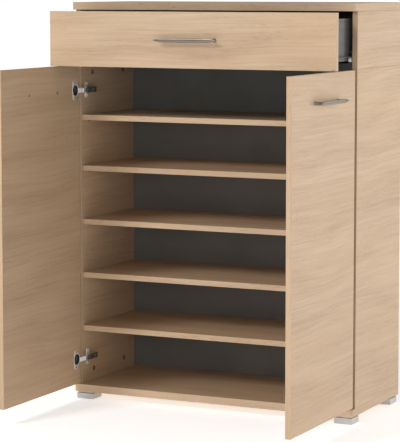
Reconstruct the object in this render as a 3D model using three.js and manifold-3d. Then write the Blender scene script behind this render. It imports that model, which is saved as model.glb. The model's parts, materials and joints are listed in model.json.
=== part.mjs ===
// Shoe cabinet: a two-door lower case with five shelves under a case with one
// drawer, on four metal feet. Millimetres, +Z up, the fronts face -Y.
// It is drawn with both doors a quarter turn open and the drawer part way out.
// Origin: on the floor, in the middle of the footprint in that pose.
import * as THREE from 'three';
import { mergeVertices } from 'three/addons/utils/BufferGeometryUtils.js';
import Module from 'manifold-3d';

const wasm = await Module();
wasm.setup();

// ---- Driving dimensions ---------------------------------------------------
const WIDTH = 890;
const DEPTH = 370;
const FOOT_SIZE = 54;
const FOOT_HEIGHT = 22;
const FOOT_INSET = 4;
const BOARD = 22;                 // top and bottom boards
const PANEL = 16;                 // sides, shelves, fronts
const LOWER_SIDE_HEIGHT = 955;
const UPPER_SIDE_HEIGHT = 161;
const FRONT_TO_SIDE_GAP = 1.5;    // between a front's back face and the side edges
const SHELF_FRONT = 23.5;
const SHELF_PLAY = 0.5;
const FIRST_SHELF_TOP = 175;      // above the bottom board
const SHELF_PITCHES = [0, 160, 160, 160, 151];
const BACK_PANEL = 4;
const BACK_INSET = 14;            // bare rim behind the back panel
const GROOVE_DEPTH = 6;
const GROOVE_PLAY = 0.25;

const DOOR_WIDTH = 443;
const DOOR_REVEAL = 1;            // side face left showing beside a front
const DOOR_BOTTOM_GAP = 4;
const DOOR_TOP_GAP = 1.5;
const OPEN_DOOR_EDGE_Y = 2.75;    // hinge-side edge of an open door
const HINGE_FROM_DOOR_END = 74;
const CUP_FROM_DOOR_EDGE = 22.5;
const DOOR_HANDLE_FROM_EDGE = 210;
const DOOR_HANDLE_BELOW_TOP = 77;

const DRAWER_FRONT_HEIGHT = 158;
const DRAWER_FRONT_GAP = 0.5;     // above the joint between the two cases
const DRAWER_LENGTH = 320;
const DRAWER_OUT = 138.5;
const DRAWER_SIDE_HEIGHT = 118;
const DRAWER_BACK_HEIGHT = 98;
const MIDDLE_BOARD_FRONT = 24;

const HANDLE_LENGTH = 200;
const HANDLE_HEIGHT = 12;
const HANDLE_THICK = 4.5;
const HANDLE_REACH = 28;          // front of the handle to the face it is on
const HANDLE_STRAIGHT = 140;
const HANDLE_SHOULDER = 12;       // from the straight part to where the pull of its curve lies
const HANDLE_HOLES = 160;
const HANDLE_POST_RADIUS = 4.5;
const HANDLE_BORE = 10;           // depth of the screw hole in a post

const SCREW_RADIUS = 2;
const SCREW_HOLE_RADIUS = 2.4;
const SCREW_IN_POST = 8;
const SCREW_HEAD = { radius: 4.25, height: 2.25 };

const ROUND_SEGMENTS = 24;
const SMALL_SEGMENTS = 12;
const CURVE_SEGMENTS = 6;
const OVERLAP = 1;                // how far solids run into each other before they are joined or cut

// ---- Worked out from them -------------------------------------------------
const halfWidth = WIDTH / 2;
const innerX = halfWidth - PANEL;
const bottomTop = FOOT_HEIGHT + BOARD;
const seamZ = bottomTop + LOWER_SIDE_HEIGHT;
const topUnderside = seamZ + UPPER_SIDE_HEIGHT;
const height = topUnderside + BOARD;
const sideFrontY = PANEL + FRONT_TO_SIDE_GAP;
const backPanelY = DEPTH - BACK_INSET - BACK_PANEL;
const doorOuterX = halfWidth - DOOR_REVEAL;
const doorInnerX = doorOuterX - PANEL;
const doorBottom = bottomTop + DOOR_BOTTOM_GAP;
const doorTop = seamZ - DOOR_TOP_GAP;
const doorFreeY = OPEN_DOOR_EDGE_Y - DOOR_WIDTH;
const hingeZs = { upper: doorTop - HINGE_FROM_DOOR_END, lower: doorBottom + HINGE_FROM_DOOR_END };
const middleTop = seamZ + PANEL;
const drawerFrontBottom = seamZ + DRAWER_FRONT_GAP;
const drawerFaceY = -DRAWER_OUT;
const drawerStartY = drawerFaceY + PANEL;
const drawerEndY = drawerStartY + DRAWER_LENGTH;
const originY = (doorFreeY + DEPTH) / 2;

// ---- Materials ------------------------------------------------------------
const finish = (color, roughness, metalness) =>
  new THREE.MeshStandardMaterial({ color, roughness, metalness });
const oak = () => finish(0xd0b395, 0.55, 0);
const graphite = () => finish(0x35332f, 0.7, 0);
const greyMetal = () => finish(0x8e8f8e, 0.45, 0.5);
const greyBoard = () => finish(0xb4b4b2, 0.6, 0);
const nickel = () => finish(0xbdb8b0, 0.3, 1);
const footMetal = () => finish(0xc6c8ca, 0.35, 0.9);
const nylon = () => finish(0xe6e6e2, 0.5, 0);

// ---- Building blocks ------------------------------------------------------
const cabinet = new THREE.Group();
cabinet.position.y = -originY;

function add(name, geometry, material) {
  const mesh = new THREE.Mesh(geometry, material);
  mesh.name = name;
  cabinet.add(mesh);
  return mesh;
}

// A box given by its low and high values along X, Y and Z.
function boxShape(x, y, z) {
  const box = new THREE.BoxGeometry(x[1] - x[0], y[1] - y[0], z[1] - z[0]);
  return box.translate((x[0] + x[1]) / 2, (y[0] + y[1]) / 2, (z[0] + z[1]) / 2);
}

// Low and high value of a span that is mirrored with the side it is on.
const mirrored = (side, a, b) => [side * a, side * b].sort((p, q) => p - q);

function outlineShape(points) {
  return new THREE.Shape(points.map(([x, y]) => new THREE.Vector2(x, y)));
}

function raised(shape, depth) {
  return new THREE.ExtrudeGeometry(shape, { depth, bevelEnabled: false, curveSegments: CURVE_SEGMENTS });
}

// An outline in the XY plane raised from low to high along Z.
const standing = (shape, low, high) => raised(shape, high - low).translate(0, 0, low);

// An outline in the XZ plane run from low to high along Y.
const running = (shape, low, high) => raised(shape, high - low).rotateX(Math.PI / 2).translate(0, high, 0);

const alongX = (geometry) => geometry.rotateZ(-Math.PI / 2);
const alongZ = (geometry) => geometry.rotateX(Math.PI / 2);

// A cylinder between two values along its axis; it is made along Y.
function rod(radius, low, high, segments) {
  return new THREE.CylinderGeometry(radius, radius, high - low, segments).translate(0, (low + high) / 2, 0);
}

function turned(profile, segments) {
  return new THREE.LatheGeometry(profile.map(([r, h]) => new THREE.Vector2(r, h)), segments);
}

// A geometry as a solid that can be joined and cut.
function solid(geometry) {
  const bare = geometry.clone();
  bare.deleteAttribute('normal');
  bare.deleteAttribute('uv');
  const merged = mergeVertices(bare, 1e-4);
  const corners = merged.index.array;
  const kept = [];
  for (let i = 0; i < corners.length; i += 3) {
    const [a, b, c] = [corners[i], corners[i + 1], corners[i + 2]];
    if (a !== b && b !== c && c !== a) kept.push(a, b, c);
  }
  return new wasm.Manifold(new wasm.Mesh({
    numProp: 3,
    vertProperties: new Float32Array(merged.attributes.position.array),
    triVerts: new Uint32Array(kept),
  }));
}

function shapeOf(body) {
  const mesh = body.getMesh();
  const geometry = new THREE.BufferGeometry();
  geometry.setAttribute('position', new THREE.BufferAttribute(new Float32Array(mesh.vertProperties), 3));
  geometry.setIndex(new THREE.BufferAttribute(new Uint32Array(mesh.triVerts), 1));
  geometry.computeVertexNormals();
  return geometry;
}

const joined = (...geometries) => geometries.map(solid).reduce((whole, piece) => whole.add(piece));
const cutBy = (body, ...geometries) =>
  geometries.map(solid).reduce((rest, piece) => rest.subtract(piece), body);

// ---- Case -----------------------------------------------------------------
const SIDES = { left: -1, right: 1 };

function sidePanelOutline(side) {
  const grooveFront = backPanelY - GROOVE_PLAY;
  const grooveBack = backPanelY + BACK_PANEL + GROOVE_PLAY;
  return outlineShape([
    [innerX, sideFrontY], [halfWidth, sideFrontY], [halfWidth, DEPTH], [innerX, DEPTH],
    [innerX, grooveBack], [innerX + GROOVE_DEPTH, grooveBack],
    [innerX + GROOVE_DEPTH, grooveFront], [innerX, grooveFront],
  ].map(([x, y]) => [side * x, y]));
}

function makeCase() {
  const across = [-halfWidth, halfWidth];
  add('bottom_board', boxShape(across, [0, DEPTH], [FOOT_HEIGHT, bottomTop]), oak());
  add('top_board', boxShape(across, [0, DEPTH], [topUnderside, height]), oak());
  for (const [word, side] of Object.entries(SIDES)) {
    add(`lower_side_${word}`, standing(sidePanelOutline(side), bottomTop, seamZ), oak());
    add(`upper_side_${word}`, standing(sidePanelOutline(side), seamZ, topUnderside), oak());
  }
  const inside = [-innerX, innerX];
  add('middle_board', boxShape(inside, [MIDDLE_BOARD_FRONT, backPanelY], [seamZ, middleTop]), graphite());
  const backHalf = innerX + GROOVE_DEPTH - 2 * GROOVE_PLAY;
  const backY = [backPanelY, backPanelY + BACK_PANEL];
  add('back_panel', boxShape([-backHalf, backHalf], backY, [bottomTop, topUnderside]), graphite());
}

// Shelves are numbered from the top one down.
function makeShelves() {
  const x = [-innerX + SHELF_PLAY, innerX - SHELF_PLAY];
  const y = [SHELF_FRONT, backPanelY - SHELF_PLAY];
  let top = bottomTop + FIRST_SHELF_TOP;
  SHELF_PITCHES.forEach((pitch, index) => {
    top += pitch;
    add(`shelf_${SHELF_PITCHES.length - index}`, boxShape(x, y, [top - PANEL, top]), oak());
  });
}

// A foot is a block with a narrower neck under its mounting plate.
function makeFeet() {
  const plate = 2.5;
  const neck = 2;
  const neckInset = 4;
  const blockTop = FOOT_HEIGHT - plate - neck;
  const rows = { front: FOOT_INSET, back: DEPTH - FOOT_INSET - FOOT_SIZE };
  for (const [sideWord, side] of Object.entries(SIDES)) {
    const outer = halfWidth - FOOT_INSET;
    const x = mirrored(side, outer - FOOT_SIZE, outer);
    for (const [rowWord, frontY] of Object.entries(rows)) {
      const y = [frontY, frontY + FOOT_SIZE];
      const [neckX, neckY] = [x, y].map(([low, high]) => [low + neckInset, high - neckInset]);
      const foot = joined(
        boxShape(x, y, [0, blockTop]),
        boxShape(neckX, neckY, [blockTop - OVERLAP, blockTop + neck + OVERLAP]),
        boxShape(x, y, [blockTop + neck, FOOT_HEIGHT]),
      );
      add(`foot_${rowWord}_${sideWord}`, shapeOf(foot), footMetal());
    }
  }
}

// ---- Handles and their screws ---------------------------------------------
// Handle drawn lying along X on a face at y = 0 and standing out to -Y.
function handleSolid() {
  const tip = HANDLE_LENGTH / 2;
  const straight = HANDLE_STRAIGHT / 2;
  const shoulder = straight + HANDLE_SHOULDER;
  const half = HANDLE_HEIGHT / 2;
  const blade = new THREE.Shape();
  blade.moveTo(-tip, 0);
  blade.quadraticCurveTo(-shoulder, -half, -straight, -half);
  blade.lineTo(straight, -half);
  blade.quadraticCurveTo(shoulder, -half, tip, 0);
  blade.quadraticCurveTo(shoulder, half, straight, half);
  blade.lineTo(-straight, half);
  blade.quadraticCurveTo(-shoulder, half, -tip, 0);
  const bladeBack = HANDLE_THICK - HANDLE_REACH;
  const posts = [-1, 1].map((end) =>
    rod(HANDLE_POST_RADIUS, bladeBack - OVERLAP, 0, SMALL_SEGMENTS).translate(end * HANDLE_HOLES / 2, 0, 0));
  const bores = [-1, 1].map((end) =>
    rod(SCREW_HOLE_RADIUS, -HANDLE_BORE, OVERLAP, SMALL_SEGMENTS).translate(end * HANDLE_HOLES / 2, 0, 0));
  return cutBy(joined(running(blade, -HANDLE_REACH, bladeBack), ...posts), ...bores);
}

// Screw drawn along Y, from the tip at -SCREW_IN_POST to its head behind a front.
function handleScrew() {
  const headTop = PANEL + SCREW_HEAD.height;
  return turned([
    [0, -SCREW_IN_POST], [SCREW_RADIUS, -SCREW_IN_POST], [SCREW_RADIUS, PANEL],
    [SCREW_HEAD.radius, PANEL], [SCREW_HEAD.radius, headTop], [0, headTop],
  ], SMALL_SEGMENTS);
}

const handleHole = () => rod(SCREW_HOLE_RADIUS, -OVERLAP, PANEL + OVERLAP, SMALL_SEGMENTS);

// Turns a piece drawn for a face that looks along -Y to a door face that looks
// along +X or -X, then carries it to the face.
function ontoDoor(geometry, side, y, z) {
  return geometry.rotateZ(side * Math.PI / 2).translate(side * doorOuterX, y, z);
}

// ---- Doors ----------------------------------------------------------------
const BORE_RADIUS = 17.6;
const BORE_DEPTH = 11.5;
const CUP_RADIUS = 17.25;
const CUP_INNER_RADIUS = 16;
const CUP_FLOOR = 1.25;
const CUP_DEPTH = 11.25;
const FLANGE = { radius: 18, length: 57, width: 22, thick: 1.5, earShift: 5.5 };

// Cup with its flange, drawn round Y: y = 0 is the door's inner face and +Y
// stands out of the door. The flange's ears lie nearer the door's free edge.
function hingeCup(side) {
  const top = FLANGE.thick;
  const cup = turned([
    [0, -CUP_DEPTH], [CUP_RADIUS, -CUP_DEPTH], [CUP_RADIUS, top], [CUP_INNER_RADIUS, top],
    [CUP_INNER_RADIUS, CUP_FLOOR - CUP_DEPTH], [0, CUP_FLOOR - CUP_DEPTH],
  ], ROUND_SEGMENTS);
  const flange = joined(
    rod(FLANGE.radius, 0, top, ROUND_SEGMENTS),
    boxShape(
      [-side * FLANGE.earShift - FLANGE.width / 2, -side * FLANGE.earShift + FLANGE.width / 2],
      [0, top],
      [-FLANGE.length / 2, FLANGE.length / 2],
    ),
  );
  const opening = rod((CUP_RADIUS + CUP_INNER_RADIUS) / 2, -OVERLAP, top + OVERLAP, ROUND_SEGMENTS);
  const ring = cutBy(flange, opening);
  return shapeOf(ring.add(solid(cup)));
}

function makeDoor(word, side) {
  const cupY = OPEN_DOOR_EDGE_Y - CUP_FROM_DOOR_EDGE;
  const handleY = OPEN_DOOR_EDGE_Y - DOOR_HANDLE_FROM_EDGE;
  const handleZ = doorTop - DOOR_HANDLE_BELOW_TOP;
  const screwYs = { front: handleY - HANDLE_HOLES / 2, back: handleY + HANDLE_HOLES / 2 };

  const across = mirrored(side, doorInnerX, doorOuterX);
  const panel = boxShape(across, [doorFreeY, OPEN_DOOR_EDGE_Y], [doorBottom, doorTop]);
  const bores = Object.values(hingeZs).map((z) => {
    const bore = alongX(rod(BORE_RADIUS, -OVERLAP, BORE_DEPTH, ROUND_SEGMENTS));
    return (side < 0 ? bore.rotateZ(Math.PI) : bore).translate(side * doorInnerX, cupY, z);
  });
  const holes = Object.values(screwYs).map((y) => ontoDoor(handleHole(), side, y, handleZ));
  add(`door_${word}`, shapeOf(cutBy(solid(panel), ...bores, ...holes)), oak());

  add(`door_handle_${word}`, ontoDoor(shapeOf(handleSolid()), side, handleY, handleZ), nickel());
  for (const [end, y] of Object.entries(screwYs)) {
    add(`door_handle_screw_${word}_${end}`, ontoDoor(handleScrew(), side, y, handleZ), nickel());
  }
  for (const [level, z] of Object.entries(hingeZs)) {
    const cup = hingeCup(side).rotateZ(side * Math.PI / 2).translate(side * doorInnerX, cupY, z);
    add(`hinge_cup_${word}_${level}`, cup, nickel());
  }
}

// ---- Hinges between side panels and doors ---------------------------------
const LINK_PIN = { x: 417, y: 10, radius: 1.3 };
const LINK = { length: 28, degrees: -87, thick: 2.4, width: 13, eyeRadius: 2.5, holeRadius: 1.75 };
const ARM = { inner: 413.5, outer: 420.5, front: 17, back: 83, width: 16.5 };
const ARM_EAR = { inner: 414.5, outer: 419.5, front: 7.5, thick: 1.25 };
const PLATE_BODY = { front: 24, back: 83, width: 14 };
const PLATE_WING = { front: 38, back: 57, length: 48, thick: 2.5 };

function makeHinge(word, side, level, z) {
  const wing = boxShape(
    mirrored(side, innerX - PLATE_WING.thick, innerX),
    [PLATE_WING.front, PLATE_WING.back],
    [z - PLATE_WING.length / 2, z + PLATE_WING.length / 2],
  );
  const body = boxShape(
    mirrored(side, ARM.outer, innerX),
    [PLATE_BODY.front, PLATE_BODY.back],
    [z - PLATE_BODY.width / 2, z + PLATE_BODY.width / 2],
  );
  add(`mounting_plate_${word}_${level}`, shapeOf(joined(wing, body)), nickel());

  const half = ARM.width / 2;
  const ears = [[z - half, z - half + ARM_EAR.thick], [z + half - ARM_EAR.thick, z + half]].map((span) =>
    boxShape(mirrored(side, ARM_EAR.inner, ARM_EAR.outer), [ARM_EAR.front, ARM.front + OVERLAP], span));
  const pinHalf = half - ARM_EAR.thick / 2;
  const pin = alongZ(rod(LINK_PIN.radius, -pinHalf, pinHalf, SMALL_SEGMENTS))
    .translate(side * LINK_PIN.x, LINK_PIN.y, z);
  const arm = joined(
    boxShape(mirrored(side, ARM.inner, ARM.outer), [ARM.front, ARM.back], [z - half, z + half]),
    ...ears,
    pin,
  );
  add(`hinge_arm_${word}_${level}`, shapeOf(arm), nickel());

  const angle = THREE.MathUtils.degToRad(side > 0 ? LINK.degrees : 180 - LINK.degrees);
  const bar = new THREE.BoxGeometry(LINK.length, LINK.thick, LINK.width).translate(LINK.length / 2, 0, 0);
  const eye = alongZ(rod(LINK.eyeRadius, -LINK.width / 2, LINK.width / 2, SMALL_SEGMENTS));
  const hole = alongZ(rod(LINK.holeRadius, -LINK.width, LINK.width, SMALL_SEGMENTS));
  const link = shapeOf(cutBy(joined(bar, eye), hole));
  link.rotateZ(angle).translate(side * LINK_PIN.x, LINK_PIN.y, z);
  add(`hinge_link_${word}_${level}`, link, nickel());
}

// ---- Drawer and its runners -----------------------------------------------
const SHEET = 1.5;
const RUNNER = { front: 20, back: 345, base: middleTop + 1, height: 31.5, lowerLip: 11.5, upperLip: 10 };
const ROLLER = {
  radius: 7, hole: 2.4, axle: 2, axlePast: 0.5, inner: 416, outer: 425, z: middleTop + 10.25,
};
const FRONT_ROLLER_Y = RUNNER.front + 8;
const REAR_ROLLER_Y = drawerEndY - 12;
const DRAWER_SIDE = {
  wall: 414, bottom: middleTop + 6.5, rail: middleTop + 17.75, railEdge: 425, shelfEdge: 398.5,
};

function runnerOutline(side) {
  const web = innerX - SHEET;
  const low = RUNNER.base;
  const high = RUNNER.base + RUNNER.height;
  return outlineShape([
    [innerX, low], [innerX, high], [web - RUNNER.upperLip + SHEET, high],
    [web - RUNNER.upperLip + SHEET, high - SHEET], [web, high - SHEET], [web, low + SHEET],
    [web - RUNNER.lowerLip, low + SHEET], [web - RUNNER.lowerLip, low],
  ].map(([x, z]) => [side * x, z]));
}

function drawerSideOutline(side) {
  const wall = DRAWER_SIDE.wall;
  const top = DRAWER_SIDE.bottom + DRAWER_SIDE_HEIGHT;
  const bead = { out: 2.5, in: 2, height: 3 };
  return outlineShape([
    [DRAWER_SIDE.shelfEdge, DRAWER_SIDE.bottom], [wall, DRAWER_SIDE.bottom], [wall, DRAWER_SIDE.rail],
    [DRAWER_SIDE.railEdge, DRAWER_SIDE.rail], [DRAWER_SIDE.railEdge, DRAWER_SIDE.rail + SHEET],
    [wall, DRAWER_SIDE.rail + SHEET], [wall, top - bead.height], [wall + bead.out, top - bead.height],
    [wall + bead.out, top], [wall - SHEET - bead.in, top], [wall - SHEET - bead.in, top - bead.height],
    [wall - SHEET, top - bead.height], [wall - SHEET, DRAWER_SIDE.bottom + SHEET],
    [DRAWER_SIDE.shelfEdge, DRAWER_SIDE.bottom + SHEET],
  ].map(([x, z]) => [side * x, z]));
}

function axle(side, low, high, y) {
  const span = mirrored(side, low, high);
  return alongX(rod(ROLLER.axle, span[0], span[1], SMALL_SEGMENTS)).translate(0, y, ROLLER.z);
}

function roller(side, y) {
  const span = mirrored(side, ROLLER.inner, ROLLER.outer);
  const ring = turned([
    [ROLLER.hole, span[0]], [ROLLER.radius, span[0]], [ROLLER.radius, span[1]],
    [ROLLER.hole, span[1]], [ROLLER.hole, span[0]],
  ], ROUND_SEGMENTS);
  return alongX(ring).translate(0, y, ROLLER.z);
}

function makeRunners() {
  for (const [word, side] of Object.entries(SIDES)) {
    const channel = running(runnerOutline(side), RUNNER.front, RUNNER.back);
    const frontAxle = axle(side, ROLLER.inner - ROLLER.axlePast, innerX - SHEET / 2, FRONT_ROLLER_Y);
    add(`runner_${word}`, shapeOf(joined(channel, frontAxle)), greyMetal());
    add(`front_roller_${word}`, roller(side, FRONT_ROLLER_Y), nylon());
  }
}

function makeDrawer() {
  const frontZ = [drawerFrontBottom, drawerFrontBottom + DRAWER_FRONT_HEIGHT];
  const handleZ = (frontZ[0] + frontZ[1]) / 2;
  const face = boxShape([-doorOuterX, doorOuterX], [drawerFaceY, drawerStartY], frontZ);
  const ends = { left: -HANDLE_HOLES / 2, right: HANDLE_HOLES / 2 };
  const holes = Object.values(ends).map((x) => handleHole().translate(x, drawerFaceY, handleZ));
  add('drawer_front', shapeOf(cutBy(solid(face), ...holes)), oak());
  add('drawer_handle', shapeOf(handleSolid()).translate(0, drawerFaceY, handleZ), nickel());
  for (const [end, x] of Object.entries(ends)) {
    add(`drawer_handle_screw_${end}`, handleScrew().translate(x, drawerFaceY, handleZ), nickel());
  }

  const between = DRAWER_SIDE.wall - SHEET;
  const floorZ = DRAWER_SIDE.bottom + SHEET;
  for (const [word, side] of Object.entries(SIDES)) {
    const wall = running(drawerSideOutline(side), drawerStartY, drawerEndY);
    const rearAxle = axle(side, DRAWER_SIDE.wall - SHEET / 2, ROLLER.outer + ROLLER.axlePast, REAR_ROLLER_Y);
    add(`drawer_side_${word}`, shapeOf(joined(wall, rearAxle)), greyMetal());
    add(`rear_roller_${word}`, roller(side, REAR_ROLLER_Y), nylon());
  }
  const across = [-between, between];
  const backY = drawerEndY - PANEL;
  const backTop = floorZ + DRAWER_BACK_HEIGHT;
  add('drawer_bottom', boxShape(across, [drawerStartY, backY], [floorZ, floorZ + PANEL]), greyBoard());
  add('drawer_back', boxShape(across, [backY, drawerEndY], [floorZ, backTop]), greyBoard());
}

// ---- Assembly -------------------------------------------------------------
makeCase();
makeShelves();
makeFeet();
makeRunners();
makeDrawer();
for (const [word, side] of Object.entries(SIDES)) {
  makeDoor(word, side);
  for (const [level, z] of Object.entries(hingeZs)) makeHinge(word, side, level, z);
}

export default cabinet;
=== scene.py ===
# Looks of a shoe cabinet: light oak boards, a graphite back, two doors on cup
# hinges and a drawer with metal sides. Metres, +Z up, the fronts face -Y.
import json
import math

import bmesh
import bpy
from mathutils import Matrix, Vector


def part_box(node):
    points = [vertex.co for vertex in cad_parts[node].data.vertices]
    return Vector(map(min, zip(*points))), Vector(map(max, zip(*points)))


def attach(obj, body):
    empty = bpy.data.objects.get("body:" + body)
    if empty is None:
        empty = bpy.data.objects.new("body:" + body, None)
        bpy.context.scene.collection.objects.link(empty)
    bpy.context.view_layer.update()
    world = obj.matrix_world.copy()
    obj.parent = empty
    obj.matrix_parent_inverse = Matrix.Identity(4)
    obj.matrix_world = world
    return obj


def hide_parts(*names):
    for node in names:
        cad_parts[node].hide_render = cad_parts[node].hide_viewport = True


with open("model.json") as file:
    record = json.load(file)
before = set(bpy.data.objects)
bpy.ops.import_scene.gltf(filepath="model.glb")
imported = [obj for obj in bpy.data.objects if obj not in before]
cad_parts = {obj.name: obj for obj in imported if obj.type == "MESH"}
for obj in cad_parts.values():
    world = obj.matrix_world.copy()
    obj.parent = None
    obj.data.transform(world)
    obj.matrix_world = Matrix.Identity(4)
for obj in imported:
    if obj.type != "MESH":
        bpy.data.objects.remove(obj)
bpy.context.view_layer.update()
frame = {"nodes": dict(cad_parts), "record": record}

MM = 0.001
SIDES = {"left": -1, "right": 1}
LEVELS = ("upper", "lower")
body_of = {
    node: body
    for body, nodes in frame["record"]["behaviour"]["bodies"].items()
    for node in nodes
}


# ---- Finishes ---------------------------------------------------------------
def paint(red, green, blue):
    """A colour given in everyday 0 to 255 steps, as the linear light that nodes use."""
    def linear(step):
        part = step / 255
        return part / 12.92 if part <= 0.04045 else ((part + 0.055) / 1.055) ** 2.4
    return (linear(red), linear(green), linear(blue), 1)


class Strand:
    """One value running through a node tree. Sums on it add Math nodes."""

    def __init__(self, nodes, socket):
        self.nodes = nodes
        self.socket = socket

    def sum(self, operation, *values):
        return self.nodes.node("ShaderNodeMath", {"operation": operation}, dict(enumerate(values)))

    def __add__(self, other):
        return self.sum("ADD", self, other)

    def __radd__(self, other):
        return self.sum("ADD", other, self)

    def __sub__(self, other):
        return self.sum("SUBTRACT", self, other)

    def __rsub__(self, other):
        return self.sum("SUBTRACT", other, self)

    def __mul__(self, other):
        return self.sum("MULTIPLY", self, other)

    def __rmul__(self, other):
        return self.sum("MULTIPLY", other, self)

    def __pow__(self, other):
        return self.sum("POWER", self, other)

    def wave(self):
        """Swings between 0 and 1 once for every whole step of the value."""
        return self.sum("SINE", self * math.tau) * 0.5 + 0.5

    def between(self, low, high):
        """0 below low, 1 above high and a smooth climb from one to the other."""
        return self.nodes.node(
            "ShaderNodeMapRange", {"interpolation_type": "SMOOTHSTEP"},
            {"Value": self, "From Min": low, "From Max": high},
        )


class Nodes:
    """The node tree of a material or of the surroundings."""

    def __init__(self, tree):
        self.tree = tree

    def node(self, kind, settings, sockets, out=0):
        """Adds a node, makes its settings, then fills or links its sockets."""
        made = self.tree.nodes.new(kind)
        for setting, value in settings.items():
            setattr(made, setting, value)
        for socket, value in sockets.items():
            if isinstance(value, Strand):
                self.tree.links.new(value.socket, made.inputs[socket])
            else:
                made.inputs[socket].default_value = value
        return Strand(self, made.outputs[out])


class Finish(Nodes):
    """A material built from nodes round one principled shader."""

    def __init__(self, name, **constants):
        self.material = bpy.data.materials.new(name)
        self.material.use_nodes = True
        super().__init__(self.material.node_tree)
        self.shader = self.tree.nodes["Principled BSDF"]
        for socket, value in constants.items():
            self.shader.inputs[socket.replace("_", " ")].default_value = value

    def feed(self, **strands):
        """Links what varies over the surface to the shader."""
        for socket, strand in strands.items():
            self.tree.links.new(strand.socket, self.shader.inputs[socket.replace("_", " ")])

    def axes(self, order="XYZ", of="Object"):
        """The piece's own coordinates in metres, or its facing, in the order that is asked for."""
        place = self.node("ShaderNodeTexCoord", {}, {}, out=of)
        return [self.node("ShaderNodeSeparateXYZ", {}, {0: place}, out=axis) for axis in order]

    def noise(self, x, y, z, detail, roughness=0.5):
        """Cloudy noise over three strands, about 0.5 with most of it from 0.3 to 0.7."""
        at = self.node("ShaderNodeCombineXYZ", {}, {0: x, 1: y, 2: z})
        sockets = {"Vector": at, "Scale": 1.0, "Detail": detail, "Roughness": roughness}
        return self.node("ShaderNodeTexNoise", {}, sockets)

    def mixed(self, factor, first, second):
        """A colour between two colours."""
        return self.node("ShaderNodeMix", {"data_type": "RGBA"}, {0: factor, 6: first, 7: second}, out=2)

    def bump(self, height, distance, strength):
        """A fine relief; the distance is its depth in metres."""
        sockets = {"Strength": strength, "Distance": distance, "Height": height}
        return self.node("ShaderNodeBump", {}, sockets)


OAK_LIGHT = paint(204, 178, 149)
OAK_DARK = paint(176, 148, 120)
OAK_BLUSH = paint(199, 168, 131)
OAK_PORES = paint(130, 103, 78)
# Painted shade: OAK_SHADED is the darker tone laid on the front edges of the side panels, where the doors
# and drawer shade them.
OAK_SHADED = paint(128, 101, 76)


def oak(name, order, painted_end_shade=0.0):
    """Light oak foil: order names the axes along the grain, across it and into the board.

    On the ends, where the grain would stand on end, the band's grain runs along the edge; the last
    argument mixes OAK_SHADED onto the ends as painted shade.
    """
    wood = Finish(name, Specular_IOR_Level=0.35)
    along, across, deep = wood.axes(order)
    faces = wood.axes(order, "Normal")
    end = (faces[0] * faces[0]).between(0.3, 0.7)
    along, across = along + end * (across - along), across + end * (deep - across)
    # The figure: planks, and arches, streaks and fine lines that one slow sway bends.
    sway = wood.noise(along * 1.5, across * 3.5, deep * 3, detail=2)
    bent = across + sway * 0.05
    arches = (across * 7 + sway * 3.4).wave()
    plank = wood.noise(along * 0.8, across * 7, deep * 5, detail=3, roughness=0.6).between(0.3, 0.7)
    streaks = wood.noise(along * 5, bent * 170, deep * 60, detail=4, roughness=0.65)
    lines = wood.noise(along * 2.2, (across + sway * 0.08) * 60, deep * 25, detail=2).between(0.35, 0.65)
    figure = arches * 0.2 + plank * 0.22 + streaks.between(0.3, 0.7) * 0.38 + lines * 0.2
    # Over it, a yellow blush in patches and short dark pores.
    blush = wood.noise(along * 2, across * 5, deep * 4, detail=1).between(0.35, 0.65)
    pores = wood.noise(along * 42, bent * 1150, deep * 500, detail=1).between(0.6, 0.72)
    colour = wood.mixed(figure, OAK_LIGHT, OAK_DARK)
    colour = wood.mixed(blush * 0.3, colour, OAK_BLUSH)
    colour = wood.mixed(pores * (0.15 + arches * 0.3), colour, OAK_PORES)
    # Painted shade: the end faces, here the side panels' front edges, are darkened for the shade that
    # falls on them.
    colour = wood.mixed(end * painted_end_shade, colour, OAK_SHADED)
    relief = streaks * 0.5 - pores * 0.8
    wood.feed(
        Base_Color=colour,
        Roughness=0.5 + streaks * 0.16,
        Normal=wood.bump(relief, 0.00022, 0.55),
    )
    return wood.material


def board_foil(name, light, dark, roughness):
    """A plain coloured foil on board, with a fine pearled emboss and faint clouding."""
    foil = Finish(name, Specular_IOR_Level=0.3)
    x, y, z = foil.axes()
    pearl = foil.noise(x * 900, y * 900, z * 900, detail=2)
    cloud = foil.noise(x * 7, y * 7, z * 7, detail=3)
    shade = cloud.between(0.3, 0.7) * 0.55 + pearl.between(0.35, 0.65) * 0.45
    foil.feed(
        Base_Color=foil.mixed(shade, light, dark),
        Roughness=roughness + pearl * 0.14,
        Normal=foil.bump(pearl, 0.00012, 0.5),
    )
    return foil.material


def coated_steel(name, light, dark):
    """Powder coated sheet steel: fine orange peel, rubbed a little where hands reach."""
    coat = Finish(name, Specular_IOR_Level=0.5)
    x, y, z = coat.axes()
    peel = coat.noise(x * 650, y * 650, z * 650, detail=2)
    rubs = coat.noise(x * 5, y * 5, z * 40, detail=3)
    coat.feed(
        Base_Color=coat.mixed(rubs.between(0.3, 0.7), light, dark),
        Roughness=0.42 + rubs * 0.22,
        Metallic=rubs.between(0.5, 0.9) * 0.15,
        Normal=coat.bump(peel, 0.00006, 0.6),
    )
    return coat.material


def brushed_metal(name, light, dark, roughness, order, grain=2600, metallic=1.0):
    """Bare or plated metal brushed along the first axis of order, with soft handling marks."""
    metal = Finish(name, Metallic=metallic)
    along, across, deep = metal.axes(order)
    brushing = metal.noise(along * 45, across * grain, deep * grain, detail=3, roughness=0.6)
    marks = metal.noise(along * 22, across * 60, deep * 60, detail=3)
    metal.feed(
        Base_Color=metal.mixed(brushing.between(0.3, 0.7) * 0.7 + marks * 0.3, light, dark),
        Roughness=roughness + brushing * 0.12 + marks.between(0.4, 0.8) * 0.08,
        Normal=metal.bump(brushing, 0.00003, 0.45),
    )
    return metal.material


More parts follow.
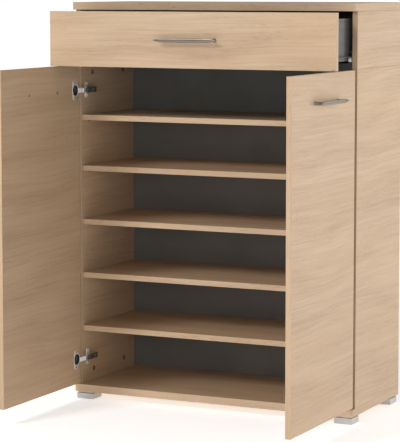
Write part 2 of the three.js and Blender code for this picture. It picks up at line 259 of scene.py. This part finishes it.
def moulded_nylon(name, light, dark):
    """Moulded nylon that lets a little light in."""
    resin = Finish(name, Subsurface_Weight=0.15, Subsurface_Scale=0.002, Specular_IOR_Level=0.45)
    x, y, z = resin.axes()
    flow = resin.noise(x * 120, y * 120, z * 120, detail=3)
    resin.feed(
        Base_Color=resin.mixed(flow.between(0.3, 0.7), light, dark),
        Roughness=0.38 + flow * 0.2,
        Normal=resin.bump(flow, 0.00005, 0.5),
    )
    return resin.material


OAK_X = oak("light_oak_grain_across", "XZY")
OAK_FLAT = oak("light_oak_flat_boards", "XYZ")
OAK_Y = oak("light_oak_grain_front_to_back", "YZX")
# The side panels' front edges carry painted shade.
OAK_SIDES = oak("light_oak_side_panels_with_painted_edge_shade", "YZX", painted_end_shade=0.5)
# Painted shade: the middle board's graphite foil is made far darker than the back panel's, standing in
# for the shade under the drawer.
GRAPHITE_PAINTED_SHADE = board_foil("graphite_with_painted_shade", paint(58, 57, 55), paint(50, 49, 47), 0.65)
GRAPHITE = board_foil("graphite_board", paint(110, 109, 105), paint(97, 96, 92), 0.6)
GREY_BOARD = board_foil("grey_board", paint(186, 186, 183), paint(172, 172, 169), 0.5)
GREY_STEEL = coated_steel("grey_coated_steel", paint(98, 98, 95), paint(86, 86, 84))
SATIN_LIGHT = paint(148, 139, 128)
SATIN_DARK = paint(118, 110, 100)
SATIN_X = brushed_metal("satin_nickel_crosswise", SATIN_LIGHT, SATIN_DARK, 0.36, "XYZ")
SATIN_Y = brushed_metal("satin_nickel_front_to_back", SATIN_LIGHT, SATIN_DARK, 0.36, "YXZ")
HINGE_STEEL = brushed_metal(
    "bright_nickel_plate", paint(236, 236, 234), paint(214, 214, 212), 0.12, "ZXY", grain=900,
)
PALE_PLATE = brushed_metal(
    "pale_nickel_plate", paint(240, 240, 237), paint(226, 226, 223), 0.3, "ZXY", grain=900, metallic=0.35,
)
LINK_PLATE = brushed_metal(
    "white_zinc_plate", paint(250, 250, 250), paint(240, 240, 240), 0.42, "ZXY", grain=900, metallic=0.1,
)
# Painted shade: dark steel for a sheet inside each hinge cup, standing in for the shade in the cup's
# hollow.
HINGE_CUP_PAINTED_SHADE = brushed_metal(
    "painted_shade_in_hinge_cups", paint(120, 119, 117), paint(96, 95, 93), 0.4, "ZXY", grain=900,
)
ZINC = brushed_metal("zinc_plate", paint(158, 154, 148), paint(122, 118, 112), 0.3, "ZXY", grain=1200)
FOOT_METAL = brushed_metal(
    "matt_aluminium", paint(196, 194, 190), paint(176, 174, 170), 0.4, "XYZ", grain=1500,
)
CAP_BROWN = moulded_nylon("brown_caps", paint(122, 94, 70), paint(104, 78, 58))
NYLON = moulded_nylon("pale_nylon", paint(232, 231, 226), paint(218, 217, 211))


# ---- Making meshes ----------------------------------------------------------
FLAT_AREA = 400 * MM * MM    # a face above this is one side of a board or sheet, and shaded flat
EASE_FROM = 30               # degrees; an edge flatter than this is part of a curve
JOIN_WITHIN = 1e-6           # metres; corners this close are one corner


def piece(name, shape, body, finish, stands_for=(), crease=40):
    """Turns a finished bmesh into an object that rides on a body, smooth up to the crease angle."""
    bmesh.ops.recalc_face_normals(shape, faces=shape.faces)
    mesh = bpy.data.meshes.new(name)
    shape.to_mesh(mesh)
    shape.free()
    mesh.shade_smooth()
    mesh.set_sharp_from_angle(angle=math.radians(crease))
    for face in mesh.polygons:
        if face.area > FLAT_AREA:
            face.use_smooth = False
    mesh.materials.append(finish)
    made = bpy.data.objects.new(name, mesh)
    bpy.context.scene.collection.objects.link(made)
    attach(made, body)
    if stands_for:
        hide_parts(*stands_for)


def cad_shape(node):
    """The shape of a CAD node with its split corners joined and its flat faces whole."""
    shape = bmesh.new()
    shape.from_mesh(frame["nodes"][node].data)
    bmesh.ops.remove_doubles(shape, verts=shape.verts, dist=JOIN_WITHIN)
    bmesh.ops.dissolve_limit(shape, angle_limit=math.radians(1), verts=shape.verts, edges=shape.edges)
    return shape


def ease(shape, width, steps):
    """Rounds every edge that is sharper than EASE_FROM."""
    limit = math.radians(EASE_FROM)
    edges = [e for e in shape.edges if len(e.link_faces) == 2 and e.calc_face_angle() > limit]
    bmesh.ops.bevel(
        shape, geom=edges, offset=width, segments=steps, profile=0.5, affect="EDGES", clamp_overlap=True,
    )


def eased(node, finish, width, steps=2):
    """A piece with the CAD node's own shape, its edges rounded, in the node's place."""
    shape = cad_shape(node)
    ease(shape, width, steps)
    piece(f"{node}_finished", shape, body_of[node], finish, [node])


def facing(point, outward):
    """Placement that turns a shape's own +Z outward and its +Y up, at a point."""
    out = Vector(outward).normalized()
    side = Vector((0, 0, 1)).cross(out).normalized()
    tilt = Matrix((side, out.cross(side), out)).transposed().to_4x4()
    return Matrix.Translation(point) @ tilt


def no_dent(reach, angle):
    """The depth of a plain surface: nothing, wherever it is asked."""
    return 0.0


def ring_of(shape, radius, height, place, steps, dent=no_dent):
    """Corners round the axis; one corner only where the radius is nothing."""
    if radius == 0:
        return [shape.verts.new(place @ Vector((0, 0, height - dent(0, 0))))]
    ring = []
    for step in range(steps):
        angle = math.tau * step / steps
        reach = radius(angle) if callable(radius) else radius
        at = Vector((reach * math.cos(angle), reach * math.sin(angle), height - dent(reach, angle)))
        ring.append(shape.verts.new(place @ at))
    return ring


def skin(shape, rings, closed=False):
    """Faces between rings that follow each other."""
    following = rings[1:] + rings[:1] if closed else rings[1:]
    for first, second in zip(rings, following):
        steps = max(len(first), len(second))
        for i in range(steps):
            j = (i + 1) % steps
            corners = [first[i % len(first)], first[j % len(first)],
                       second[j % len(second)], second[i % len(second)]]
            shape.faces.new(dict.fromkeys(corners))


def turn(shape, profile, place, steps=32, dent=no_dent):
    """Adds a turned body; the profile gives radius and height, and a radius may follow the angle."""
    skin(shape, [ring_of(shape, radius, height, place, steps, dent) for radius, height in profile])


def rounded_box(shape, low, high, width, steps=3):
    """Adds a box with rounded edges between two corners."""
    before = set(shape.verts)
    spot = Matrix.Translation((Vector(low) + Vector(high)) / 2)
    size = Matrix.Diagonal((*(Vector(high) - Vector(low)), 1))
    bmesh.ops.create_cube(shape, size=1, matrix=spot @ size)
    edges = [e for e in shape.edges if not before & set(e.verts)]
    bmesh.ops.bevel(shape, geom=edges, offset=width, segments=steps, profile=0.5, affect="EDGES")


def span(a, b):
    """Two corners sorted into the lowest and the highest."""
    return Vector(map(min, a, b)), Vector(map(max, a, b))


# ---- Screws -----------------------------------------------------------------
# Shares of a head's radius.
SLOT_HALF_WIDTH = 0.11
SLOT_REACH = 0.6
HEAD_HEIGHT = 0.42
SLOT_DEPTH = 0.7        # share of a head's height
HEAD_SUNK = 0.3 * MM    # below the face that a head lies on
HEAD_ROWS = 12
HEAD_STEPS = 48


def cross_recess(radius, depth):
    """Depth of a cross slot cut into a head, as a function of place on it."""
    def dent(distance, angle):
        across = abs(distance * math.cos(angle))
        up = abs(distance * math.sin(angle))
        inside = min(across, up) < radius * SLOT_HALF_WIDTH and max(across, up) < radius * SLOT_REACH
        return depth if inside else 0.0
    return dent


def head_profile(radius, height):
    """A domed head from its rim to its middle."""
    turns = [math.pi / 2 * row / HEAD_ROWS for row in range(HEAD_ROWS)]
    return [(radius * math.cos(a), height * math.sin(a)) for a in turns] + [(0, height)]


def screw_head(name, point, outward, radius, body, finish=ZINC):
    """A domed head with a cross slot, sunk a little into the face it lies on."""
    height = radius * HEAD_HEIGHT
    profile = [(0, -HEAD_SUNK), (radius, -HEAD_SUNK)] + head_profile(radius, height)
    slot_cut = cross_recess(radius, height * SLOT_DEPTH)
    shape = bmesh.new()
    turn(shape, profile, facing(point, outward), HEAD_STEPS, slot_cut)
    piece(name, shape, body, finish)


# ---- Boards -----------------------------------------------------------------
BOARD_EASE = 0.6 * MM
CORE_EASE = 0.5 * MM    # the middle board
FINE_EASE = 0.4 * MM
BACK_EASE = 0.3 * MM
SEAM_EASE = 1.5 * MM    # the upper side panels stand off the lower ones by a small vee


def make_boards():
    """Every board of the case, the doors and the drawer, with its edges rounded."""
    for node in ("top_board", "bottom_board"):
        eased(node, OAK_FLAT, BOARD_EASE)
    for number in range(1, 6):
        eased(f"shelf_{number}", OAK_FLAT, BOARD_EASE)
    for word in SIDES:
        eased(f"upper_side_{word}", OAK_SIDES, SEAM_EASE)
        eased(f"lower_side_{word}", OAK_SIDES, FINE_EASE)
        eased(f"door_{word}", OAK_Y, BOARD_EASE)
    eased("drawer_front", OAK_X, BOARD_EASE)
    # The middle board's dark foil is partly painted shade.
    eased("middle_board", GRAPHITE_PAINTED_SHADE, CORE_EASE)
    eased("back_panel", GRAPHITE, BACK_EASE)
    eased("drawer_bottom", GREY_BOARD, FINE_EASE)
    eased("drawer_back", GREY_BOARD, FINE_EASE)


# ---- Handles ----------------------------------------------------------------
HANDLE_STRAIGHT = 0.7     # share of the half length that keeps its full height
HANDLE_PULL = 0.82        # share at which the pull of the tip's curve lies
TIP_STEPS = 14            # stations along a tip's curve
TIP_HEIGHT = 0.03         # share of the full height that is left at the very tip
BLADE_SHARE = 0.16        # share of the reach that is blade; the rest is post
BLADE_CREASE = 50
POST_SPACING = 160 * MM
POST_RADIUS = 4.5 * MM
POST_FLARE = 1.25         # shares of the post's radius, at its foot and along its middle
POST_WAIST = 0.92
POST_SHORT = 0.8          # share of the blade's depth from a post's end to the blade's front
# Half height and depth round the blade, as shares: a rounded bar with a groove down its front.
BLADE_SECTION = (
    (-1.0, 0.4), (-0.97, 0.66), (-0.88, 0.84), (-0.7, 0.94), (-0.45, 1.0), (-0.16, 1.0), (-0.1, 0.35),
    (0.1, 0.35), (0.16, 1.0), (0.45, 1.0), (0.7, 0.94), (0.88, 0.84), (0.97, 0.66), (1.0, 0.4),
    (0.94, 0.14), (0.78, 0.0), (-0.78, 0.0), (-0.94, 0.14),
)


def blade_stations(half_length):
    """Places along the blade with the share of its full height there, tip to tip."""
    start = half_length * HANDLE_STRAIGHT
    pull = half_length * HANDLE_PULL
    curve = []
    for step in range(TIP_STEPS + 1):
        t = step / TIP_STEPS
        at = (1 - t) ** 2 * start + 2 * t * (1 - t) * pull + t * t * half_length
        curve.append((at, max(1 - t * t, TIP_HEIGHT)))
    return [(-at, share) for at, share in reversed(curve)] + curve


def make_handle(node, along, outward, finish):
    """The pull: a pointed blade on two turned posts, in the CAD handle's box."""
    low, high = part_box(node)
    middle = (low + high) / 2
    size = high - low
    run, out = Vector(along), Vector(outward)
    reach = abs(size.dot(out))
    half_length = abs(size.dot(run)) / 2
    half_height = size.z / 2
    foot = middle - out * reach / 2
    blade = bmesh.new()
    rings = []
    for at, share in blade_stations(half_length):
        ring = []
        for height, depth in BLADE_SECTION:
            away = reach * (1 - BLADE_SHARE * (1 - depth))
            up = Vector((0, 0, height * share * half_height))
            ring.append(blade.verts.new(foot + run * at + out * away + up))
        rings.append(ring)
    skin(blade, rings)
    blade.faces.new(rings[0])
    blade.faces.new(rings[-1])
    piece(f"{node}_blade", blade, body_of[node], finish, [node], BLADE_CREASE)
    top = reach * (1 - BLADE_SHARE * POST_SHORT)
    flare = POST_RADIUS * POST_FLARE
    waist = POST_RADIUS * POST_WAIST
    profile = [
        (0, 0), (flare, 0), (flare, 0.8 * MM), (POST_RADIUS * 1.05, 2.2 * MM),
        (waist, 4 * MM), (waist, top - 3 * MM), (POST_RADIUS, top), (0, top),
    ]
    for word, end in (("first", -1), ("second", 1)):
        post = bmesh.new()
        turn(post, profile, facing(foot + run * end * POST_SPACING / 2, out))
        piece(f"{node}_{word}_post", post, body_of[node], finish)


HANDLE_SCREW_HEAD = 4.25 * MM
HANDLE_SCREW_HIGH = 2.25 * MM
HANDLE_SCREW_RIM = 0.3 * MM
HANDLE_SCREW_SHANK = 2 * MM
CROWN_SHARE = 0.8         # of the head's radius
CROWN_HIGH = 0.62         # of the head's height
CROWN_BELOW = 0.55        # of the head's height, from the crown's foot to the end of the screw


def make_handle_screw(node, inward):
    """Screw through a front, with its head on the inside and a crossed crown on the head."""
    low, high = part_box(node)
    way = Vector(inward)
    length = abs((high - low).dot(way))
    tip = (low + high) / 2 - way * length / 2
    radius = HANDLE_SCREW_HEAD
    height = HANDLE_SCREW_HIGH
    shank = HANDLE_SCREW_SHANK
    start = length - height
    profile = [(0, 0), (shank * 0.6, 0), (shank, 1 * MM), (shank, start), (radius, start)]
    profile += [(r, start + max(h, HANDLE_SCREW_RIM)) for r, h in head_profile(radius, height)]
    shape = bmesh.new()
    turn(shape, profile, facing(tip, way), HEAD_STEPS)
    piece(f"{node}_finished", shape, body_of[node], ZINC, [node])
    wide = radius * CROWN_SHARE
    profile = [(0, 0), (wide, 0)] + head_profile(wide, height * CROWN_HIGH)
    foot = tip + way * (length - height * CROWN_BELOW)
    crown = bmesh.new()
    turn(crown, profile, facing(foot, way), HEAD_STEPS, cross_recess(radius, height * 0.6))
    piece(f"{node}_head", crown, body_of[node], ZINC)


def make_pulls():
    """The handles of the drawer and the doors, with their screws."""
    make_handle("drawer_handle", (1, 0, 0), (0, -1, 0), SATIN_X)
    for end in SIDES:
        make_handle_screw(f"drawer_handle_screw_{end}", (0, 1, 0))
    for word, side in SIDES.items():
        make_handle(f"door_handle_{word}", (0, 1, 0), (side, 0, 0), SATIN_Y)
        for end in ("front", "back"):
            make_handle_screw(f"door_handle_screw_{word}_{end}", (-side, 0, 0))


# ---- Hinges -----------------------------------------------------------------
CUP_RADIUS = 17.25 * MM
FLANGE_DISC = 18 * MM
FLANGE_HALF = (28.5 * MM, 11 * MM)
FLANGE_SHIFT = 5.5 * MM    # its ears lie this much nearer the door's free edge than the cup
FLANGE_THICK = 1.5 * MM
FLANGE_TOP = 1.35 * MM     # pressed a little thinner, so that the closed door clears the side panel
FLANGE_POWER = 6           # how squarely the ears end
OUTLINE_STEP = 0.05 * MM
CUP_DEPTH = 11.25 * MM
CUP_WALL = 1.4 * MM
CUP_FLOOR = 1.3 * MM
CUP_SCREW = 2.9 * MM
CUP_SCREW_FROM_MIDDLE = 23.5 * MM
UP_AND_DOWN = (("upper", 1), ("lower", -1))


def flange_outline(inset, shift):
    """Reach of the cup's flange round its axis: a disc with two ears beside it."""
    half_high, half_wide = FLANGE_HALF

    def reach(angle):
        far = FLANGE_DISC
        while True:
            across = abs(far * math.cos(angle) - shift) / half_wide
            up = abs(far * math.sin(angle)) / half_high
            if across ** FLANGE_POWER + up ** FLANGE_POWER > 1:
                return far - inset
            far += OUTLINE_STEP
    return reach


def make_cup(node, out):
    """Hinge cup let into a door, with its flange, a dark sheet in its hollow as painted shade, and two
    screws.
    """
    low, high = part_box(node)
    middle = (low + high) / 2
    face = high.x if out > 0 else low.x
    place = facing((face - out * FLANGE_THICK, middle.y, middle.z), (out, 0, 0))
    shift = -out * FLANGE_SHIFT
    inner = CUP_RADIUS - CUP_WALL
    bottom = -CUP_DEPTH
    floor = bottom + CUP_FLOOR
    profile = [
        (0, bottom), (CUP_RADIUS - 1.5 * MM, bottom), (CUP_RADIUS, bottom + 1.2 * MM), (CUP_RADIUS, 0),
        (flange_outline(0, shift), 0), (flange_outline(0, shift), 0.8 * MM),
        (flange_outline(0.2 * MM, shift), 1.2 * MM), (flange_outline(0.6 * MM, shift), FLANGE_TOP),
        (CUP_RADIUS + 0.5 * MM, FLANGE_TOP), (CUP_RADIUS - 0.6 * MM, 0.9 * MM), (inner, 0.2 * MM),
        (inner - 0.2 * MM, bottom + 3 * MM), (inner - 1.5 * MM, floor), (0, floor),
    ]
    cup = bmesh.new()
    turn(cup, profile, place, steps=96)
    piece(f"{node}_finished", cup, body_of[node], PALE_PLATE, [node])
    # Painted shade: a dark sheet along the inside of the cup's wall and floor, for the shade in its
    # hollow.
    wall = inner - 0.25 * MM
    deep = bottom + 1.5 * MM
    shade_sheet_profile = [
        (0, deep), (wall - 1.4 * MM, deep), (wall, deep + 1.6 * MM), (wall, 0),
        (wall - 0.4 * MM, 0), (wall - 0.5 * MM, deep + 1.8 * MM),
        (wall - 1.8 * MM, deep + 0.5 * MM), (0, deep + 0.5 * MM),
    ]
    painted_shade_sheet = bmesh.new()
    turn(painted_shade_sheet, shade_sheet_profile, place, steps=64)
    piece(f"{node}_well", painted_shade_sheet, body_of[node], HINGE_CUP_PAINTED_SHADE)
    for word, way in UP_AND_DOWN:
        spot = Vector((face, middle.y - FLANGE_SHIFT, middle.z + way * CUP_SCREW_FROM_MIDDLE))
        screw_head(f"{node}_{word}_screw", spot, (out, 0, 0), CUP_SCREW, body_of[node])


WING_THICK = 2.5 * MM
WING_MIDDLE = 23.5 * MM    # behind the plate's front end
WING_HALF_WIDE = 9.5 * MM
WING_POWER = 5             # how squarely the wings end
WAIST_DEPTH = 0.12         # share by which the wings draw in beside the saddle
WAIST_TURN = 0.5           # radians over which they do
SADDLE_HALF = 7 * MM
SADDLE_EASE = 1.6 * MM
PLATE_SCREW = 3.6 * MM
PLATE_SCREW_FROM_MIDDLE = 16.5 * MM


def wing_outline(half_long, inset):
    """Reach of a mounting plate's wings round their middle."""
    def reach(angle):
        across = abs(math.cos(angle)) / WING_HALF_WIDE
        up = abs(math.sin(angle)) / half_long
        waist = 1 - WAIST_DEPTH * math.exp(-((angle % math.pi) / WAIST_TURN) ** 2)
        return waist / (across ** WING_POWER + up ** WING_POWER) ** (1 / WING_POWER) - inset
    return reach


def make_plate(node, out):
    """Mounting plate: a saddle along the side panel with two rounded wings."""
    low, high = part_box(node)
    wall = low.x if out > 0 else high.x
    inner = high.x if out > 0 else low.x
    wing_y = low.y + WING_MIDDLE
    middle_z = (low.z + high.z) / 2
    full, edge, top = [wing_outline((high.z - low.z) / 2, inset) for inset in (0, 0.25 * MM, 0.8 * MM)]
    profile = [
        (0, 0), (full, 0), (full, WING_THICK - 0.8 * MM), (edge, WING_THICK - 0.2 * MM),
        (top, WING_THICK), (0, WING_THICK),
    ]
    shape = bmesh.new()
    turn(shape, profile, facing((wall, wing_y, middle_z), (out, 0, 0)), steps=96)
    saddle = span((wall, low.y, middle_z - SADDLE_HALF), (inner, high.y, middle_z + SADDLE_HALF))
    rounded_box(shape, *saddle, SADDLE_EASE)
    piece(f"{node}_finished", shape, body_of[node], PALE_PLATE, [node])
    for word, way in UP_AND_DOWN:
        spot = Vector((wall + out * WING_THICK, wing_y, middle_z + way * PLATE_SCREW_FROM_MIDDLE))
        name = f"{node}_{word}_screw"
        screw_head(name, spot, (out, 0, 0), PLATE_SCREW, body_of[node], HINGE_STEEL)


ARM_EASE = 0.45 * MM
ARM_SCREW = 3.7 * MM
ARM_SCREW_PLACES = (("front", 24 * MM), ("rear", 58 * MM))    # behind the arm's front end
RIDGE_FROM_MIDDLE = 6.6 * MM
RIDGE_HALF_WIDTH = 0.8 * MM
RIDGE_SUNK = 0.5 * MM
RIDGE_HIGH = 0.8 * MM
RIDGE_EASE = 0.35 * MM


def make_arm(node, out):
    """Hinge arm: the CAD channel with two adjusting screws and a ridge along each edge."""
    low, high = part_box(node)
    eased(node, HINGE_STEEL, ARM_EASE)
    top = high.x if out > 0 else low.x
    middle_z = (low.z + high.z) / 2
    for word, back in ARM_SCREW_PLACES:
        spot = Vector((top, low.y + back, middle_z))
        screw_head(f"{node}_{word}_screw", spot, (out, 0, 0), ARM_SCREW, body_of[node])
    ridge = bmesh.new()
    for way in (-1, 1):
        edge = middle_z + way * RIDGE_FROM_MIDDLE
        bar = span(
            (top - out * RIDGE_SUNK, low.y + 14 * MM, edge - RIDGE_HALF_WIDTH),
            (top + out * RIDGE_HIGH, high.y - 4 * MM, edge + RIDGE_HALF_WIDTH),
        )
        rounded_box(ridge, *bar, RIDGE_EASE, steps=2)
    piece(f"{node}_ridges", ridge, body_of[node], HINGE_STEEL)


LINK_EASE = 0.35 * MM


def make_hinges():
    """Two cup hinges on each door."""
    for word, side in SIDES.items():
        for level in LEVELS:
            make_cup(f"hinge_cup_{word}_{level}", -side)
            make_plate(f"mounting_plate_{word}_{level}", -side)
            make_arm(f"hinge_arm_{word}_{level}", -side)
            eased(f"hinge_link_{word}_{level}", LINK_PLATE, LINK_EASE)


# ---- Fittings in the case ---------------------------------------------------
CAM_RADIUS = 7.5 * MM
CAM_PLACES = (87.5 * MM, 281.5 * MM)    # behind the front edge of the top board
CAM_FROM_SEAM = 25 * MM
CAM_FROM_BOTTOM = 34 * MM
CAM_CROSS = 5 * MM                      # sets the size of the cross in a cover
CAM_CROSS_DEPTH = 0.5 * MM
ROOTED = 1 * MM                         # how far covers and pins reach into the board
PIN_RADIUS = 2.5 * MM
PIN_LENGTH = 8 * MM
PIN_FROM_EDGE = 37 * MM


def make_cams():
    """Covers of the fittings that pull the boards together."""
    rim = CAM_RADIUS
    profile = [
        (0, -ROOTED), (rim, -ROOTED), (rim, 0.3 * MM), (rim - 0.3 * MM, 0.6 * MM),
        (rim - 1.2 * MM, 0.6 * MM), (rim - 1.5 * MM, 0.3 * MM),
    ]
    profile += [(rim * share, 0.3 * MM) for share in (0.7, 0.6, 0.5, 0.4, 0.3, 0.2, 0.1, 0)]
    cross = cross_recess(CAM_CROSS, CAM_CROSS_DEPTH)
    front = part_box("top_board")[0].y
    for word, side in SIDES.items():
        low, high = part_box(f"lower_side_{word}")
        face = low.x if side > 0 else high.x
        heights = {"top": high.z - CAM_FROM_SEAM, "bottom": low.z + CAM_FROM_BOTTOM}
        for level, z in heights.items():
            for number, back in enumerate(CAM_PLACES, 1):
                shape = bmesh.new()
                turn(shape, profile, facing((face, front + back, z), (-side, 0, 0)), HEAD_STEPS, cross)
                piece(f"cam_{word}_{level}_{number}", shape, "carcass", CAP_BROWN)


def make_shelf_pins():
    """Two pins on each side under every shelf."""
    collar = PIN_RADIUS * 1.7
    profile = [
        (0, -ROOTED), (PIN_RADIUS, -ROOTED), (PIN_RADIUS, 0), (collar, 0), (collar, 0.9 * MM),
        (PIN_RADIUS, 1.2 * MM), (PIN_RADIUS, PIN_LENGTH - 0.6 * MM),
        (PIN_RADIUS * 0.75, PIN_LENGTH), (0, PIN_LENGTH),
    ]
    for number in range(1, 6):
        low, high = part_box(f"shelf_{number}")
        for word, side in SIDES.items():
            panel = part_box(f"lower_side_{word}")
            face = panel[0].x if side > 0 else panel[1].x
            for end, y in (("front", low.y + PIN_FROM_EDGE), ("back", high.y - PIN_FROM_EDGE)):
                shape = bmesh.new()
                turn(shape, profile, facing((face, y, low.z - PIN_RADIUS), (-side, 0, 0)), steps=24)
                piece(f"shelf_{number}_pin_{word}_{end}", shape, "carcass", ZINC)


FOOT_EASE = 0.9 * MM


def make_feet():
    """The four feet, their edges rounded in three steps."""
    for row in ("front", "back"):
        for word in SIDES:
            eased(f"foot_{row}_{word}", FOOT_METAL, FOOT_EASE, steps=3)


# ---- Drawer and runners -----------------------------------------------------
RUNNER_SCREW = 2.8 * MM
RUNNER_SCREW_PLACES = (37 * MM, 165 * MM, 293 * MM)    # behind the front end of a runner
RUNNER_THICK = 1.5 * MM
RUNNER_EASE = 0.3 * MM
DRAWER_SIDE_EASE = 0.35 * MM
ROLLER_HOLE = 2.4 * MM
ROLLER_EDGE = 0.8 * MM    # how far its rounded edges reach in from the rim and the sides


def make_roller(node):
    """Nylon roller with a hole for its pin and a groove turned in one side."""
    low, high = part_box(node)
    middle = (low + high) / 2
    rim = (high.z - low.z) / 2
    width = high.x - low.x
    edge = ROLLER_EDGE
    profile = [
        (ROLLER_HOLE, 0), (rim * 0.55, 0), (rim * 0.6, 0.6 * MM), (rim * 0.78, 0.6 * MM), (rim * 0.84, 0),
        (rim - edge, 0), (rim - edge * 0.3, edge * 0.3), (rim, edge), (rim, width - edge),
        (rim - edge * 0.3, width - edge * 0.3), (rim - edge, width), (ROLLER_HOLE, width),
    ]
    place = facing((low.x, middle.y, middle.z), (1, 0, 0))
    shape = bmesh.new()
    rings = [ring_of(shape, radius, height, place, steps=40) for radius, height in profile]
    skin(shape, rings, closed=True)
    piece(f"{node}_finished", shape, body_of[node], NYLON, [node])


def make_drawer_gear():
    """The metal drawer sides, the runners with their screws, and the rollers."""
    for word, side in SIDES.items():
        eased(f"runner_{word}", GREY_STEEL, RUNNER_EASE)
        eased(f"drawer_side_{word}", GREY_STEEL, DRAWER_SIDE_EASE)
        make_roller(f"front_roller_{word}")
        make_roller(f"rear_roller_{word}")
        low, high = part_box(f"runner_{word}")
        web = (high.x if side > 0 else low.x) - side * RUNNER_THICK
        for number, back in enumerate(RUNNER_SCREW_PLACES, 1):
            spot = Vector((web, low.y + back, (low.z + high.z) / 2))
            screw_head(f"runner_{word}_screw_{number}", spot, (-side, 0, 0), RUNNER_SCREW, "carcass")


make_boards()
make_pulls()
make_hinges()
make_cams()
make_shelf_pins()
make_feet()
make_drawer_gear()


# ---- Stage, light and camera ------------------------------------------------
CAMERA_AT = (2.5163, -5.2594, 1.2324)
CAMERA_YAW = 25.69
CAMERA_PITCH = 5.592
CAMERA_LENS = 167.02
CAMERA_SHIFT = -0.08
CAMERA_REACH = 200
FLOOR_RADIUS = 60
FLOOR_FADE = (0.8, 3.5)    # metres from the middle between which the floor grows lighter
FLOOR_NEAR = 0.53
FLOOR_FAR = 0.75


def grey(level):
    """A grey of that much linear light."""
    return (level, level, level, 1)


def make_floor():
    """A pale floor that gives off some light of its own, less of it near the object."""
    shape = bmesh.new()
    bmesh.ops.create_circle(shape, cap_ends=True, segments=96, radius=FLOOR_RADIUS)
    mesh = bpy.data.meshes.new("floor")
    shape.to_mesh(mesh)
    shape.free()
    pale = Finish("pale_floor", Roughness=0.9, Specular_IOR_Level=0.1, Emission_Strength=1.0)
    x, y, z = pale.axes()
    away = ((x * x + y * y) ** 0.5).between(*FLOOR_FADE)
    grain = pale.noise(x * 4, y * 4, z, detail=3)
    pale.feed(
        Base_Color=pale.mixed(grain, grey(0.9), grey(0.86)),
        Emission_Color=pale.mixed(away, grey(FLOOR_NEAR), grey(FLOOR_FAR)),
    )
    mesh.materials.append(pale.material)
    floor = bpy.data.objects.new("floor", mesh)
    bpy.context.scene.collection.objects.link(floor)


def make_sky(strength, glossy):
    """Even white surroundings: plain white to the camera, dimmer in reflections and as a light."""
    world = bpy.data.worlds.new("studio")
    world.use_nodes = True
    sky = Nodes(world.node_tree)
    glossy_ray = sky.node("ShaderNodeLightPath", {}, {}, out="Is Glossy Ray")
    camera_ray = sky.node("ShaderNodeLightPath", {}, {}, out="Is Camera Ray")
    level = strength + glossy_ray * (glossy - strength) + camera_ray * (1 - strength)
    background = sky.tree.nodes["Background"]
    background.inputs["Color"].default_value = grey(1)
    sky.tree.links.new(level.socket, background.inputs["Strength"])
    bpy.context.scene.world = world


def make_lamp(name, at, target, size, power):
    """A round soft lamp; its size in metres, its power in watts."""
    data = bpy.data.lights.new(name, "AREA")
    data.shape = "DISK"
    data.size = size
    data.energy = power
    lamp = bpy.data.objects.new(name, data)
    lamp.location = at
    lamp.rotation_mode = "QUATERNION"
    lamp.rotation_quaternion = (Vector(target) - Vector(at)).to_track_quat("-Z", "Y")
    bpy.context.scene.collection.objects.link(lamp)


def make_camera():
    data = bpy.data.cameras.new("camera")
    data.lens = CAMERA_LENS
    data.shift_y = CAMERA_SHIFT
    data.clip_end = CAMERA_REACH
    camera = bpy.data.objects.new("camera", data)
    camera.location = CAMERA_AT
    camera.rotation_euler = (math.radians(90 - CAMERA_PITCH), 0, math.radians(CAMERA_YAW))
    bpy.context.scene.collection.objects.link(camera)
    bpy.context.scene.camera = camera


make_floor()
make_sky(strength=0.35, glossy=0.7)
make_lamp("upper_left_lamp", at=(-2.2, -5.5, 4.2), target=(0, 0, 0.8), size=1.8, power=172)
make_lamp("front_lamp", at=(2.0, -6.2, 1.5), target=(0, 0, 0.7), size=1.6, power=46)
make_lamp("right_front_lamp", at=(4.4, -4.4, 1.5), target=(0, 0, 0.6), size=2.4, power=24)
make_lamp("right_lamp", at=(5.0, 3.0, 1.0), target=(0, 0, 0.6), size=2.4, power=116)
make_camera()
view = bpy.context.scene.view_settings
view.view_transform = "Standard"
view.look = "None"
